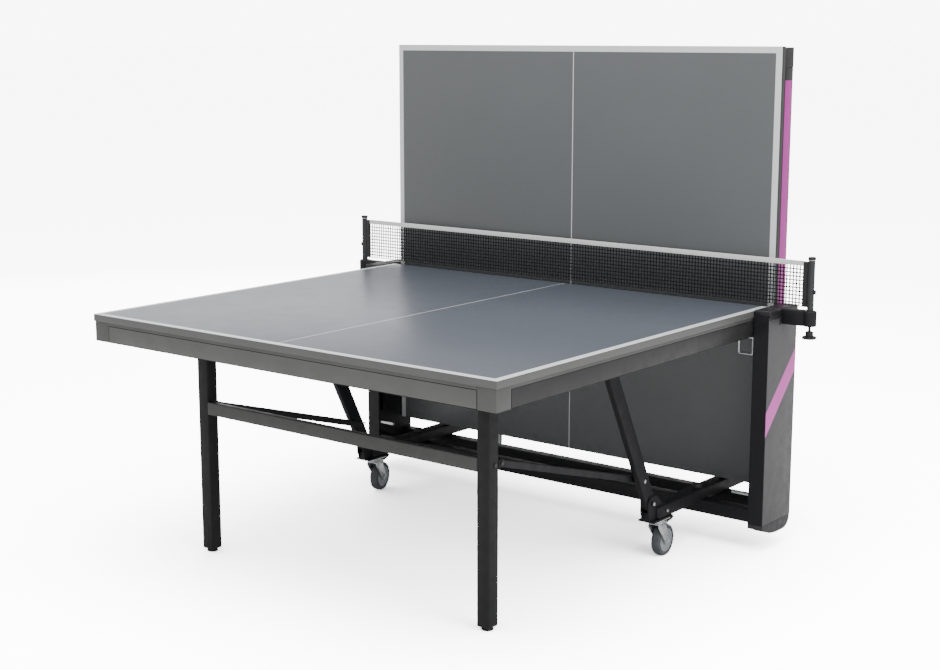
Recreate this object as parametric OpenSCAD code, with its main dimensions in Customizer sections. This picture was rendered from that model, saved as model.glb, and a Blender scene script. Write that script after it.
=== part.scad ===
// Rollaway table tennis table: two folding halves on one wheeled undercarriage.
// The near half lies open on its legs and the far half stands folded behind the net.
// Every half is drawn once, open, on the +Y side of the net line; near() mirrors it to -Y.

/* [Table] */
// Overall playing length, both halves open
table_l = 2740; // [2400:10:3300]
// Width of the playing surface
table_w = 1525; // [1400:5:1850]
// Height of the playing surface above the floor
table_h = 760; // [720:1:800]
// Thickness of the playing board
board_t = 22; // [16:1:26]
// Height of the steel rail under the board
rail_h = 60; // [54:1:66]
// Thickness of the steel rail, across
rail_t = 24; // [20:1:28]
// How far the board stands proud of the rails
board_lip = 3; // [1:0.5:8]
// Length of each leg of a corner piece
corner_l = 60; // [40:1:80]
// Depth of the pockets that hold the trim panels
panel_depth = 1.2; // [1:0.1:2]

/* [Folding] */
// Distance from the net line to the face of a folded half
fold_gap = 36; // [30:1:38]
// Height of the net edge of a folded half
fold_low = 178; // [176:1:190]
// Distance of the guide pin from the net edge
pin_s = 50; // [44:1:54]
// Depth of the guide pin under the playing surface
pin_d = 38; // [34:1:40]
// Radius of the guide pin
pin_r = 6; // [5:0.5:7]
// Radius of the guide roller
roller_r = 11; // [9:0.5:12]

/* [Columns] */
// Width of a column, across the table
col_w = 50; // [40:1:65]
// Length of a column, along the table
col_l = 180; // [174:1:220]
// Gap between the table edge and a column
col_gap = 2.5; // [2:0.5:8]
// Height of the top of a column
col_top = 746; // [735:1:748]
// Height of the seam between a column and its shoe
col_low = 88; // [84:1:90]
// Thickness of the cover on the outer side of a column
cover_t = 2; // [1:0.5:4]

/* [Undercarriage] */
// Distance of a cross tube's middle from the net line
cross_y = 65; // [60:1:66]
// Width of a cross tube
cross_w = 40; // [30:1:44]
// Height of a cross tube
cross_h = 43; // [38:1:43]
// Height of the underside of the cross tubes
cross_z = 90; // [88:1:92]
// Distance of a beam's middle from the table's middle line
beam_x = 580; // [575:1:600]
// Width of a beam
beam_w = 50; // [46:1:60]
// Height of a beam
beam_h = 38; // [30:1:38]
// Distance of a beam's end from the net line
beam_end = 350; // [345:1:352]

/* [Arms and legs] */
// Distance of an arm's pivot from the net line
arm_y = 374; // [372:1:378]
// Height of an arm's pivot
arm_z = 187; // [186:1:192]
// Distance of an arm's upper end from the net line, half open
arm_reach = 633; // [620:1:650]
// Depth of an arm's upper end under the playing surface, half open
arm_drop = 60; // [56:1:64]
// Depth of an arm's upper end under the playing surface, half folded
arm_tuck = 75; // [70:1:78]
// Width of an arm
arm_w = 48; // [40:1:48]
// Thickness of an arm
arm_t = 20; // [16:1:20]
// Side of a square leg tube
leg_w = 42; // [34:1:43]
// Gap between a leg and the arm beside it, across
leg_gap = 6; // [5:1:10]
// Distance from the end of the table to a leg's middle
leg_inset = 248; // [180:1:300]
// Depth of a leg's pivot under the playing surface
leg_depth = 66; // [66:1:68]
// Height of the middle of the bar between the legs
bar_z = 461; // [420:1:500]
// Height of the bar between the legs
bar_h = 40; // [30:1:50]
// Thickness of a stay, across
stay_t = 16; // [12:1:16]
// Depth of a stay
stay_h = 20; // [16:1:20]
// Height up an arm of the stud that a stay hooks on to
stud_up = 87; // [84:1:100]

/* [Casters] */
// Radius of a wheel
wheel_r = 50; // [40:1:50]
// Width of a wheel
wheel_w = 28; // [24:1:30]
// Distance of a swivel from the net line
caster_y = 320; // [316:1:322]
// Distance of an axle behind its swivel
trail = 34; // [28:1:38]
// How far the near left caster stands turned, in degrees
near_left_turn = 12; // [-20:1:20]
// How far the near right caster stands turned, in degrees
near_right_turn = 2; // [-20:1:20]

/* [Net] */
// Height of the net above the playing surface
net_h = 152.5; // [150:0.5:155]
// How far a net post reaches beyond the side of the table
net_over = 152.5; // [115:0.5:340]
// Radius of a net post
post_r = 10; // [8:0.5:11]
// Gap between the net's lower edge and the playing surface
net_gap = 12; // [8:1:15]

/* [Hidden] */
$fn = 40;

open = 0;
folded = 1;
fit = 0.05;          // radial clearance of a running fit
gap = 1;             // side clearance between pieces that pass each other
half_gap = 1;        // each half stops this far from the net line
rail_back = 8;       // each half's steel starts this far from the net line
tube_wall = 2;
half_l = table_l / 2;
half_x = table_w / 2;
board_low = table_h - board_t;
rail_low = board_low - rail_h;
rail_x = half_x - board_lip;
rail_end = half_l - board_lip;
rail_in = rail_x - rail_t;

pin_z = table_h - pin_d;
folded_pin = [fold_gap + pin_d, fold_low + pin_s];
// Where the guide pin is, as [distance from the net line, height], at fold t from 0 to 1
function pin_at(t) = [pin_s + (folded_pin[0] - pin_s) * t, pin_z + (folded_pin[1] - pin_z) * t];

tip_z = table_h - arm_drop;
arm_l = norm([arm_reach - arm_y, tip_z - arm_z]);
arm_lean = atan2(arm_reach - arm_y, tip_z - arm_z);
arm_swing = arm_lean + asin((arm_y - fold_gap - arm_tuck) / arm_l);
arm_tip_r = 11;
foot_lean = arm_w / 2;

leg_y = half_l - leg_inset;
leg_z = table_h - leg_depth;
leg_x = beam_x - arm_t / 2 - leg_gap - leg_w / 2;
leg_low = 10;
leg_pin_r = 6;
stay_clear = 2;
stay_x = leg_x + leg_w / 2 - stay_clear - stay_t / 2;
stay_y = leg_y - leg_w / 2 - stay_clear - stay_h / 2;
stay_pin_r = 5;
stud = [arm_y + stud_up * sin(arm_lean), arm_z + stud_up * cos(arm_lean)];
stud_r = 6;
stay_l = norm([stay_y - stud[0], bar_z - stud[1]]);
stay_dip = atan2(bar_z - stud[1], stay_y - stud[0]);
stay_hook = 14;

col_in = half_x + col_gap;
col_out = col_in + col_w;
col_wall = 3;
cross_top = cross_z + cross_h;
beam_top = cross_top + beam_h;
plate_t = 5;
plate_low = cross_top - plate_t;

post_x = half_x + net_over - post_r;
net_top = table_h + net_h;
net_low = table_h + net_gap;
tape_h = 15;
sleeve_w = 17;
bracket_top = table_h + 2;
bracket_h = 47;
bracket_low = bracket_top - bracket_h;

// The origin is under the middle of the whole object, between the open end and the far wheels
y_end = caster_y + trail + wheel_r;
y_mid = (y_end - half_l) / 2;

// ---------- Places ----------

module far() { translate([0, -y_mid, 0]) children(); }
module near() { far() mirror([0, 1, 0]) children(); }
module both_sides() { children(); mirror([1, 0, 0]) children(); }
module both_ends() { children(); mirror([0, 1, 0]) children(); }

// Carries a piece of an open half to where it is at fold t
module half_at(t) {
  p = pin_at(t);
  translate([0, p[0], p[1]]) rotate([90 * t, 0, 0]) translate([0, -pin_s, -pin_z]) children();
}
module guides_at(t) {
  p = pin_at(t);
  translate([0, p[0] - pin_s, p[1] - pin_z]) children();
}
module arms_at(t) {
  translate([0, arm_y, arm_z]) rotate([arm_swing * t, 0, 0]) translate([0, -arm_y, -arm_z]) children();
}
// The legs hang upright whatever the half does, so they only travel with their pivot
module legs_at(t) {
  p = pin_at(t);
  run = leg_y - pin_s;
  drop = leg_depth - pin_d;
  y = p[0] + run * cos(90 * t) + drop * sin(90 * t);
  z = p[1] + run * sin(90 * t) - drop * cos(90 * t);
  translate([0, y - leg_y, z - leg_z]) children();
}
module stays_at(t) {
  legs_at(t) translate([0, stay_y, bar_z]) rotate([(90 - stay_dip) * t, 0, 0])
    translate([0, -stay_y, -bar_z]) children();
}

// ---------- Shapes ----------

// A block between two corners
module block(a, b) { translate(a) cube(b - a); }
// A hollow rectangular tube between two corners, open along axis 0, 1 or 2
module tube(a, b, along, wall = tube_wall) {
  in = [for (i = [0:2]) i == along ? -1 : wall];
  difference() { block(a, b); block(a + in, b - in); }
}
// A round bar along X from x0 to x1 at [y, z]
module bar_x(x0, x1, at, r) { translate([x0, at[0], at[1]]) rotate([0, 90, 0]) cylinder(r = r, h = x1 - x0); }
// A round bar along Z
module bar_z(z0, z1, x, y, r) { translate([x, y, z0]) cylinder(r = r, h = z1 - z0); }
// A plate with its outline in the YZ plane, from x0 to x1
module plate_x(x0, x1, outline) {
  translate([x0, 0, 0]) rotate([90, 0, 90]) linear_extrude(x1 - x0) polygon(outline);
}
function arc(c, r, a0, a1, n = 8) =
  [for (i = [0:n]) let (a = a0 + (a1 - a0) * i / n) c + r * [cos(a), sin(a)]];

// ---------- One half, open ----------

module board() {
  color([0.42, 0.45, 0.50]) block([-half_x, half_gap, board_low], [half_x, half_l, table_h]);
}

panel_clear = 2;
panel_drop = 9;      // steel left bare above a trim panel
panel_top = board_low - panel_drop;
corner_in = rail_end - corner_l;

module side_rails() color([0.34, 0.35, 0.36]) both_sides() difference() {
  tube([rail_in, rail_back, rail_low], [rail_x, corner_in, board_low], 1);
  block([rail_x - panel_depth, rail_back + corner_l, rail_low - 1], [rail_x + 1, corner_in + 1, panel_top]);
  bar_x(rail_in - 1, rail_x + 1, [pin_s, pin_z], pin_r + fit);
}
module end_rails() color([0.42, 0.42, 0.40]) {
  difference() {
    tube([-rail_x + corner_l, rail_end - rail_t, rail_low], [rail_x - corner_l, rail_end, board_low], 0);
    block([-rail_x, rail_end - panel_depth, rail_low - 1], [rail_x, rail_end + 1, panel_top]);
  }
  tube([-rail_in, rail_back, rail_low], [rail_in, rail_back + rail_t, board_low], 0);
}
module corner_caps() color([0.38, 0.38, 0.37]) both_sides() difference() {
  block([rail_x - corner_l, corner_in, rail_low], [rail_x, rail_end, board_low]);
  block([rail_x - corner_l - 1, corner_in - 1, rail_low - 1], [rail_in, rail_end - rail_t, board_low + 1]);
}
module trim_panels(tint) color(tint) {
  skin = panel_depth - 0.2;
  back = panel_depth;
  both_sides() block([rail_x - back, rail_back + corner_l + panel_clear, rail_low + panel_clear],
    [rail_x - back + skin, corner_in - panel_clear, panel_top - panel_clear]);
  end = rail_x - corner_l - panel_clear;
  block([-end, rail_end - back, rail_low + panel_clear],
    [end, rail_end - back + skin, panel_top - panel_clear]);
}

member = 30;
member_near = 120;
member_far = leg_y + 48;
member_x = 250;
lug_t = 4;
handle_rod_r = 4;
handle_y = 64;
handle_z = rail_low - 7;
handle_x = [half_x - 60, half_x - 12];
handle_drop = 53;

module cross_members() color([0.13, 0.13, 0.14]) {
  for (y = [member_near, member_far])
    tube([-rail_in, y, board_low - member], [rail_in, y + member, board_low], 0);
  both_sides() guide_channel();
}
module long_members() color([0.13, 0.13, 0.14]) both_sides() {
  tube([member_x, member_near + member, board_low - member], [member_x + member, member_far, board_low], 1);
  for (x = [member_x, rail_in - 80]) difference() {
    block([x, handle_y - 10, handle_z - 10], [x + lug_t, member_near, board_low]);
    bar_x(x - 1, x + lug_t + 1, [handle_y, handle_z], handle_rod_r + fit);
  }
}
// The channel under the board that the upper end of an arm runs in
module guide_channel() {
  wide = arm_t / 2 + gap;
  web = 1.5;
  y0 = arm_reach - 178;
  y1 = arm_reach + 27;
  for (x = [-wide - web, wide]) block([beam_x + x, y0, rail_low + gap], [beam_x + x + web, y1, board_low]);
}
module leg_brackets() color([0.13, 0.13, 0.14]) both_sides() {
  inside = leg_w / 2 + gap;
  for (x = [-inside - lug_t, inside])
    block([leg_x + x, leg_y - 22, rail_low + 2], [leg_x + x + lug_t, leg_y + 22, board_low]);
  bar_x(leg_x - inside - lug_t - 4, leg_x + inside + lug_t + 4, [leg_y, leg_z], leg_pin_r);
}
module release_bar() color([0.72, 0.72, 0.70]) {
  bar_x(-handle_x[1] - handle_rod_r, handle_x[1] + handle_rod_r, [handle_y, handle_z], handle_rod_r);
  both_sides() {
    for (x = handle_x) bar_z(handle_z - handle_drop, handle_z, x, handle_y, handle_rod_r - 1);
    bar_x(handle_x[0] - 3, handle_x[1] + 3, [handle_y, handle_z - handle_drop], handle_rod_r - 1);
  }
}
module guide_pins() color([0.62, 0.62, 0.62]) both_sides() {
  bar_x(rail_in - 2, col_in + 22, [pin_s, pin_z], pin_r);
  bar_x(rail_in - 6, rail_in - 2, [pin_s, pin_z], pin_r + 3);
  difference() {
    bar_x(col_in + col_wall + 3, col_in + 18, [pin_s, pin_z], roller_r);
    bar_x(col_in, col_in + 20, [pin_s, pin_z], pin_r + 0.1);
  }
}

// ---------- Legs, feet, stays and arms, half open ----------

bar_t = 20;
foot_pad_h = 8;
foot_r = 17;
foot_stem_r = 6;
foot_plug = 12;

module legs() color([0.36, 0.36, 0.35]) {
  w = leg_w / 2;
  both_sides() {
    difference() {
      union() {
        tube([leg_x - w, leg_y - w, leg_low], [leg_x + w, leg_y + w, leg_z + w], 2);
        block([leg_x - w + 1, leg_y - w + 1, leg_low], [leg_x + w - 1, leg_y + w - 1, leg_low + foot_plug]);
      }
      bar_x(leg_x - w - 1, leg_x + w + 1, [leg_y, leg_z], leg_pin_r + fit);
      bar_z(leg_low - 1, leg_low + foot_plug + 1, leg_x, leg_y, foot_stem_r + fit);
    }
    lug_out = leg_y - w;
    for (x = [stay_x - stay_t / 2 - 3.5, stay_x + stay_t / 2 + 0.5])
      block([x, stay_y - 9, bar_z - 11], [x + 3, lug_out, bar_z + 11]);
    bar_x(stay_x - stay_t / 2 - 5, stay_x + stay_t / 2 + 5, [stay_y, bar_z], stay_pin_r);
    bar_x(leg_x + w, leg_x + w + 3, [leg_y - 6, bar_z], 5);
  }
  tube([-leg_x + w, leg_y + w - bar_t, bar_z - bar_h / 2], [leg_x - w, leg_y + w, bar_z + bar_h / 2], 0);
}
// A screw foot under the leg on one side, 1 or -1
module foot(side) color([0.09, 0.09, 0.09]) {
  bar_z(0, foot_pad_h, side * leg_x, leg_y, foot_r);
  bar_z(foot_pad_h - 1, leg_low + foot_plug + 10, side * leg_x, leg_y, foot_stem_r);
}
module stays() color([0.30, 0.30, 0.31]) both_sides()
  translate([stay_x, stay_y, bar_z]) rotate([stay_dip, 0, 0]) difference() {
    x = stay_t / 2;
    z = stay_h / 2;
    union() {
      tube([-x, -stay_l + stay_hook, -z], [x, -z, z], 1);
      block([-x, -stay_l - stay_hook, -z], [x, -stay_l + stay_hook + 1, z]);
      block([-x, -z - 1, -z], [x, 0, z]);
      bar_x(-x, x, [0, 0], z);
    }
    bar_x(-x - 1, x + 1, [0, 0], stay_pin_r + fit);
    // The hook is open below and towards the net, so it lifts off the stud
    block([-x - 1, -stay_l - stay_hook - 1, -z - 1], [x + 1, -stay_l + stud_r + 1.5, stud_r - 4]);
    block([-x - 1, -stay_l - stay_hook - 1, -z - 1], [x + 1, -stay_l + stud_r + 1.5, stud_r + 0.6]);
  }
module arms() color([0.12, 0.12, 0.13]) both_sides()
  translate([beam_x, arm_y, arm_z]) rotate([-arm_lean, 0, 0]) {
    x = arm_t / 2;
    w = arm_w / 2;
    difference() {
      union() {
        tube([-x, -w, w], [x, w, arm_l - 46], 2);
        block([-x, -w, 0], [x, w, w + 1]);
        bar_x(-x, x, [0, 0], w);
        block([-x + 5, -9, arm_l - 60], [x - 5, 9, arm_l]);
        block([-x + 1, -w + 1, arm_l - 52], [x - 1, w - 1, arm_l - 46]);
        bar_x(-x + 5, x - 5, [0, arm_l], 9);
      }
      bar_x(-x - 1, x + 1, [0, 0], pin_r + fit);
    }
    for (side = [-1, 1]) bar_x(side * (x - 2.75) - 2.25, side * (x - 2.75) + 2.25, [0, arm_l], arm_tip_r);
    bar_x(-x - 23, -x, [0, stud_up], stud_r);
    bar_x(x, x + 4, [0, stud_up], 8);
  }

// ---------- Undercarriage ----------

module cross_tubes() color([0.10, 0.10, 0.11]) both_ends()
  tube([-col_in, cross_y - cross_w / 2, cross_z], [col_in, cross_y + cross_w / 2, cross_top], 0);
module beams() color([0.11, 0.11, 0.12]) both_sides()
  tube([beam_x - beam_w / 2, -beam_end, cross_top], [beam_x + beam_w / 2, beam_end, beam_top], 1);

ear = lug_t;
module arm_brackets() color([0.10, 0.10, 0.11]) both_sides() both_ends() {
  in = arm_t / 2 + gap;
  reach = arm_y + 22;
  top = arm_z + 21;
  profile = [[beam_end - 38, beam_top], [beam_end, beam_top], [beam_end, cross_top], [reach - 11, cross_top],
    [reach, cross_top + 26], [reach, top - 12], [reach - 12, top], [arm_y - 24, top]];
  for (x = [-in - ear, in]) plate_x(beam_x + x, beam_x + x + ear, profile);
  bar_x(beam_x - in - ear - 4, beam_x + in + ear + 4, [arm_y, arm_z], pin_r);
  block([beam_x - 28, caster_y - 45, plate_low], [beam_x + 28, reach - 11, cross_top]);
  block([beam_x - in, reach - 15, cross_top], [beam_x + in, reach - 11, cross_top + 24]);
}
module frame_bolts() color([0.66, 0.66, 0.66]) both_sides() both_ends() {
  x = beam_x + beam_w / 2;
  bar_x(x, x + 4, [caster_y - 15, cross_top + beam_h / 2], 8);
  bar_x(beam_x + arm_t / 2 + gap + ear + 4, beam_x + arm_t / 2 + gap + ear + 8, [arm_y, arm_z], pin_r + 3);
}

caster_top = plate_low - 4;
module caster_plates() color([0.70, 0.71, 0.72]) both_sides() both_ends()
  block([beam_x - 26, caster_y - 32, caster_top], [beam_x + 26, caster_y + 32, plate_low]);

bumper_h = fold_low + rail_back - 1 - beam_top;
module beam_bumpers() color([0.08, 0.08, 0.08]) both_sides() both_ends()
  bar_z(beam_top, beam_top + bumper_h, beam_x, fold_gap + board_t + 27, 15);
rest_at = [fold_gap + board_t + 20, fold_low + rail_back - 1 - pin_r];
module rest_pins() color([0.75, 0.75, 0.75]) both_sides() both_ends()
  bar_x(half_x - 60, col_in + col_wall - fit, rest_at, pin_r);

// ---------- Columns ----------

slot_r = pin_r + 1;
module pin_slot() {
  a = pin_at(open);
  b = pin_at(folded);
  len = norm(b - a);
  turn = atan2(b[0] - a[0], a[1] - b[1]);
  for (p = [a, b]) bar_x(col_in - 1, col_in + col_wall + 1, p, slot_r);
  translate([col_in - 1, a[0], a[1]]) rotate([turn, 0, 0])
    translate([0, -slot_r + 0.2, -len]) cube([col_wall + 2, 2 * slot_r - 0.4, len]);
}
module columns() color([0.16, 0.16, 0.17]) both_sides() difference() {
  tube([col_in, -col_l / 2, col_low], [col_out, col_l / 2, col_top], 2, col_wall);
  both_ends() pin_slot();
  both_ends() bar_x(col_in - 1, col_in + col_wall + 1, rest_at, pin_r + fit);
}
module column_covers() color([0.43, 0.43, 0.44]) both_sides()
  block([col_out, -col_l / 2, col_low], [col_out + cover_t, col_l / 2, col_top - 4]);
module column_shoes() color([0.20, 0.20, 0.21]) both_sides() {
  e = col_l / 2;
  round_r = 40;
  rise = col_low - round_r;
  outline = concat([[-e, col_low], [-e, col_low - 15], [-e + 22, col_low - 22], [-e + 50, rise + 6], [0, rise]],
    arc([e - round_r, col_low], round_r, -90, 0, 10));
  plate_x(col_in, col_out + cover_t, outline);
}
cap_slot = 17;
module column_caps() color([0.09, 0.09, 0.10]) both_sides() both_ends() {
  block([col_in, cap_slot, col_top], [col_out + cover_t + 3, col_l / 2, bracket_top]);
  block([col_out + cover_t, cap_slot, col_top - 12], [col_out + cover_t + 3, col_l / 2, col_top]);
  block([col_out + cover_t, cap_slot, col_top - 34], [col_out + cover_t + 3, cap_slot + 8, col_top - 12]);
}

// ---------- Net ----------

knob_stem_r = 4;
module net_brackets() color([0.11, 0.11, 0.12]) both_sides() difference() {
  union() {
    block([col_in + 3, -cap_slot + 1, col_top], [col_out + 4, cap_slot - 1, bracket_top]);
    block([col_out + cover_t, -cap_slot + 1, bracket_low], [post_x, cap_slot - 1, bracket_top]);
    bar_z(bracket_low, bracket_top, post_x, 0, 2 * post_r);
  }
  bar_z(bracket_low + 10, bracket_top + 1, post_x, 0, post_r + fit);
  bar_z(bracket_low - 1, bracket_low + 11, post_x, 0, knob_stem_r + fit);
}
module net_posts() color([0.13, 0.13, 0.14]) both_sides() {
  bar_z(bracket_low + 18, net_top + 6, post_x, 0, post_r);
  bar_z(net_top + 6, net_top + 14, post_x, 0, post_r + 2);
  bar_x(post_x + post_r - 1, post_x + post_r + 5, [0, table_h + 60], 7);
}
module net_sleeves() color([0.06, 0.06, 0.06]) both_sides()
  block([post_x - post_r - sleeve_w, -3, net_low], [post_x - post_r, 3, net_top - 1]);
module net_mesh() color([0.05, 0.05, 0.05]) {
  x = post_x - post_r - sleeve_w;
  block([-x, -1, net_low], [x, 1, net_top - tape_h]);
}
module net_tape() color([0.93, 0.93, 0.92]) {
  x = post_x - post_r - sleeve_w;
  block([-x, -2, net_top - tape_h], [x, 2, net_top]);
}
module net_knob(side) color([0.08, 0.08, 0.08]) {
  x = side * post_x;
  bar_z(bracket_low - 16, bracket_low + 10, x, 0, knob_stem_r);
  bar_z(bracket_low - 32, bracket_low - 16, x, 0, 12);
  bar_z(bracket_low - 39, bracket_low - 32, x, 0, 22);
}

// ---------- Casters, each drawn at the origin, trailing towards +Y ----------

axle_r = 5;
cheek_in = wheel_w / 2 + 2.5;
cheek_t = 2.5;
crown_low = 2 * wheel_r + 4;
pedal_pivot = [20, crown_low + 3];
pedal_pin_r = 3;

module fork() color([0.74, 0.75, 0.76]) {
  bar_z(crown_low + 8, caster_top - 0.3, 0, 0, 22);
  block([-cheek_in - cheek_t, -22, crown_low + 5], [cheek_in + cheek_t, 14, crown_low + 8]);
  outline = concat([[14, crown_low + 8], [-22, crown_low + 8], [-22, crown_low - 8]],
    arc([trail, wheel_r], 12, 215, 380, 8));
  both_sides() difference() {
    union() {
      plate_x(cheek_in, cheek_in + cheek_t, outline);
      block([cheek_in, 12, crown_low - 2], [cheek_in + cheek_t, 28, crown_low + 12]);
    }
    bar_x(cheek_in - 1, cheek_in + cheek_t + 1, pedal_pivot, pedal_pin_r + fit);
  }
  bar_x(-cheek_in - cheek_t - 3, cheek_in + cheek_t + 3, [trail, wheel_r], axle_r);
}
module wheel() {
  hub_r = 0.72 * wheel_r;
  w = wheel_w / 2;
  color([0.70, 0.72, 0.74]) translate([0, trail, wheel_r]) rotate([0, 90, 0]) rotate_extrude()
    polygon([[axle_r + fit, -w - 1], [14, -w - 1], [14, -w + 5], [hub_r - 5, -w + 5], [hub_r - 5, -w + 1],
      [hub_r, -w + 1], [hub_r, w - 1], [hub_r - 5, w - 1], [hub_r - 5, w - 5], [14, w - 5], [14, w + 1],
      [axle_r + fit, w + 1]]);
  color([0.40, 0.42, 0.43]) translate([0, trail, wheel_r]) rotate([0, 90, 0]) rotate_extrude()
    polygon([[hub_r + 0.05, -w], [wheel_r - 6, -w], [wheel_r - 2, -w + 3], [wheel_r, -w + 8], [wheel_r, w - 8],
      [wheel_r - 2, w - 3], [wheel_r - 6, w], [hub_r + 0.05, w]]);
}
module brake() color([0.07, 0.07, 0.08]) {
  bar_x(-cheek_in - cheek_t, cheek_in + cheek_t, pedal_pivot, pedal_pin_r);
  x = cheek_in - 1;
  z = pedal_pivot[1];
  plate_x(-x, x, [[16, z - 3], [26, z - 3], [trail + 30, z + 3], [trail + 42, z + 7], [trail + 40, z + 13],
    [trail + 26, z + 10], [24, z + 3], [16, z + 3]]);
}
// Puts a caster under the beam: side is 1 or -1 across, end is 1 far or -1 near
module caster_at(side, end) {
  turn = end > 0 ? 0 : side < 0 ? near_left_turn : near_right_turn;
  translate([side * beam_x, end * caster_y - y_mid, 0]) rotate([0, 0, turn]) children();
}

// ---------- Nodes ----------

near_trim = [0.27, 0.27, 0.28];
far_trim = [0.69, 0.35, 0.63];

far() cross_tubes();
far() beams();
far() arm_brackets();
far() caster_plates();
far() columns();
far() column_covers();
far() column_shoes();
far() column_caps();
far() rest_pins();
far() beam_bumpers();
far() frame_bolts();
far() net_brackets();
far() net_posts();
far() net_sleeves();
far() net_mesh();
far() net_tape();
far() net_knob(-1);  // net_knob_left
far() net_knob(1);  // net_knob_right

near() half_at(open) board();  // near_board
near() half_at(open) side_rails();  // near_side_rails
near() half_at(open) end_rails();  // near_end_rails
near() half_at(open) corner_caps();  // near_corner_caps
near() half_at(open) trim_panels(near_trim);  // near_trim_panels
near() half_at(open) cross_members();  // near_cross_members
near() half_at(open) long_members();  // near_long_members
near() half_at(open) leg_brackets();  // near_leg_brackets
near() guides_at(open) guide_pins();  // near_guide_pins
near() half_at(open) release_bar();  // near_release_bar
near() legs_at(open) legs();  // near_legs
near() legs_at(open) foot(-1);  // near_foot_left
near() legs_at(open) foot(1);  // near_foot_right
near() arms_at(open) arms();  // near_arms
near() stays_at(open) stays();  // near_stays

far() half_at(folded) board();  // far_board
far() half_at(folded) side_rails();  // far_side_rails
far() half_at(folded) end_rails();  // far_end_rails
far() half_at(folded) corner_caps();  // far_corner_caps
far() half_at(folded) trim_panels(far_trim);  // far_trim_panels
far() half_at(folded) cross_members();  // far_cross_members
far() half_at(folded) long_members();  // far_long_members
far() half_at(folded) leg_brackets();  // far_leg_brackets
far() guides_at(folded) guide_pins();  // far_guide_pins
far() half_at(folded) release_bar();  // far_release_bar
far() legs_at(folded) legs();  // far_legs
far() legs_at(folded) foot(-1);  // far_foot_left
far() legs_at(folded) foot(1);  // far_foot_right
far() arms_at(folded) arms();  // far_arms
far() stays_at(folded) stays();  // far_stays

caster_at(-1, -1) fork();  // fork_near_left
caster_at(-1, -1) wheel();  // wheel_near_left
caster_at(-1, -1) brake();  // brake_near_left
caster_at(1, -1) fork();  // fork_near_right
caster_at(1, -1) wheel();  // wheel_near_right
caster_at(1, -1) brake();  // brake_near_right
caster_at(-1, 1) fork();  // fork_far_left
caster_at(-1, 1) wheel();  // wheel_far_left
caster_at(-1, 1) brake();  // brake_far_left
caster_at(1, 1) fork();  // fork_far_right
caster_at(1, 1) wheel();  // wheel_far_right
caster_at(1, 1) brake();  // brake_far_right
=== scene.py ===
import math

import bmesh
import bpy
from mathutils import Matrix, Vector


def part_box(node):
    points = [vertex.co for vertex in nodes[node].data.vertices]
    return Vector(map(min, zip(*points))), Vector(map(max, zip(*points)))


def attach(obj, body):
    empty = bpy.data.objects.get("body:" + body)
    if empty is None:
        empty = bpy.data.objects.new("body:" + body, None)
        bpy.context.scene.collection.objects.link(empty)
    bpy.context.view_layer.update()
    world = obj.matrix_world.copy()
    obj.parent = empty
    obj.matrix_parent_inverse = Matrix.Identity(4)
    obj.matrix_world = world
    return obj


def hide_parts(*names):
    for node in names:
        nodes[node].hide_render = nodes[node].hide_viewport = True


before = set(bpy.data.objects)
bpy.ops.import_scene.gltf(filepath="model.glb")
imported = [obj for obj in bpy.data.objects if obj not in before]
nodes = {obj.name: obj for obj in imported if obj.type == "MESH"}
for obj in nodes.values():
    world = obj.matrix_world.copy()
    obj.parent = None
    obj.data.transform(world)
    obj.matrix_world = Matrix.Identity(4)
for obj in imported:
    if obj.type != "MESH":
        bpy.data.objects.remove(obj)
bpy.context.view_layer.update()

# ---------- Camera ----------

eye = bpy.data.cameras.new("eye")
eye.sensor_width = 36
eye.lens = 1593.3 / 940 * 36
eye_place = bpy.data.objects.new("eye", eye)
eye_place.location = (3.0506, -3.8731, 1.5811)
eye_place.rotation_euler = (math.pi / 2 - 0.186, 0, 0.671)
bpy.context.collection.objects.link(eye_place)
bpy.context.scene.camera = eye_place

# ---------- Sizes, in millimetres, of a half that lies open beyond the net line ----------

HALF_X = 762.5
HALF_L = 1370
TOP = 760
BOARD_LOW = 738
RAIL_LOW = 678
RAIL_X = 759.5
RAIL_END = 1367
RAIL_T = 24
POCKET = 0.6
PANEL_IN = 1.2
PANEL_OUT = 0.2
PANEL_LOW = 680
PANEL_TOP = 727
CORNER = 60
FOLD_GAP = 36
FOLD_LOW = 178
LEG_X = 543
LEG_Y = 1122
LEG_W = 42
LEG_PIVOT_Z = 694
BAR_Z = 461
STAY_X = 554
BEAM_X = 580
ARM_PIVOT = (374, 187)
ARM_LEAN = math.radians(26.788)
ARM_SWING = math.radians(54.0236)
ARM_L = 574.674
STUD_UP = 87
STAY_Y = LEG_Y - LEG_W / 2 - 12
STAY_L = 703.733
STAY_DIP = math.radians(16.2001)
COL_IN = 765
COL_OUT = 815
POST_X = 905
NET_TOP = 912.5
NET_LOW = 772

net_y = (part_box("net_tape")[0][1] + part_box("net_tape")[1][1]) / 2

MM = Matrix.Scale(0.001, 4)
FAR = Matrix.Translation((0, net_y, 0)) @ MM
NEAR = FAR @ Matrix.Scale(-1, 4, (0, 1, 0))
UPRIGHT = (FAR @ Matrix.Translation((0, FOLD_GAP + TOP, FOLD_LOW))
           @ Matrix.Rotation(math.pi / 2, 4, "X"))


def legs_shift():
    """How far the folded half's legs hang from where an open half's legs stand."""
    near_low, near_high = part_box("near_legs")
    far_low, far_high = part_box("far_legs")
    near_middle = (near_low[1] + near_high[1]) / 2
    far_middle = (far_low[1] + far_high[1]) / 2
    return Matrix.Translation((0, far_middle - (2 * net_y - near_middle), far_low[2] - near_low[2]))


FAR_LEGS = legs_shift() @ FAR


def about_x(y, z, angle):
    return Matrix.Translation((0, y, z)) @ Matrix.Rotation(angle, 4, "X")


# ---------- Shapes ----------

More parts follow.
